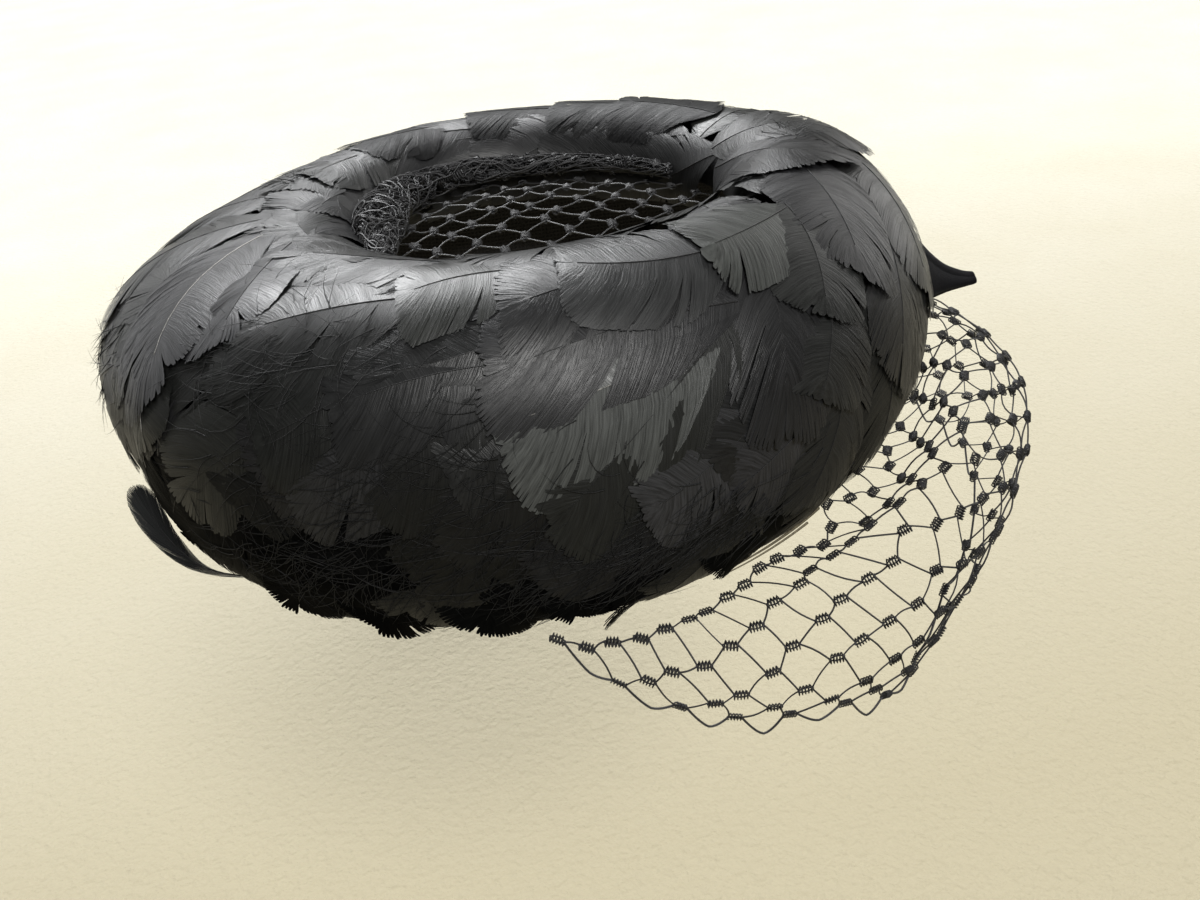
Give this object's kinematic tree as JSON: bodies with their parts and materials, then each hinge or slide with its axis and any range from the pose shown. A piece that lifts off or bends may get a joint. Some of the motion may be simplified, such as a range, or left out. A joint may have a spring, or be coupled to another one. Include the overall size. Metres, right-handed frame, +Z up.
{
  "type": "feather ring fascinator hat with face veil",
  "caption": "Ring-shaped cocktail hat: a padded roll of overlapping black feathers, netted open crown, velvet point and coarse face veil.",
  "frame": {"origin": "middle of the hem ring, 1 mm above the hem's lowest place at the back, where the head goes in", "axes": "+Z up, -Y to the wearer's front (velvet point and veil), +X to the wearer's left"},
  "size_m": [0.187, 0.2308, 0.1129],
  "materials": {
    "black_buckram": "stiffened open cloth, dull black",
    "black_feather": "dyed feather, black with a soft charcoal sheen",
    "black_velvet": "cotton velvet, deep black",
    "black_net": "wound rayon thread net, black with a slight gloss"
  },
  "bodies": {
    "root": {"foundation": "black_buckram", "feather_pad_right": "black_feather", "feather_pad_left": "black_feather", "back_feathers": "black_feather", "loose_feather": "black_feather", "velvet_point": "black_velvet", "crown_net": "black_net", "net_gather": "black_net", "face_veil": "black_net"}
  },
  "joints": []
}
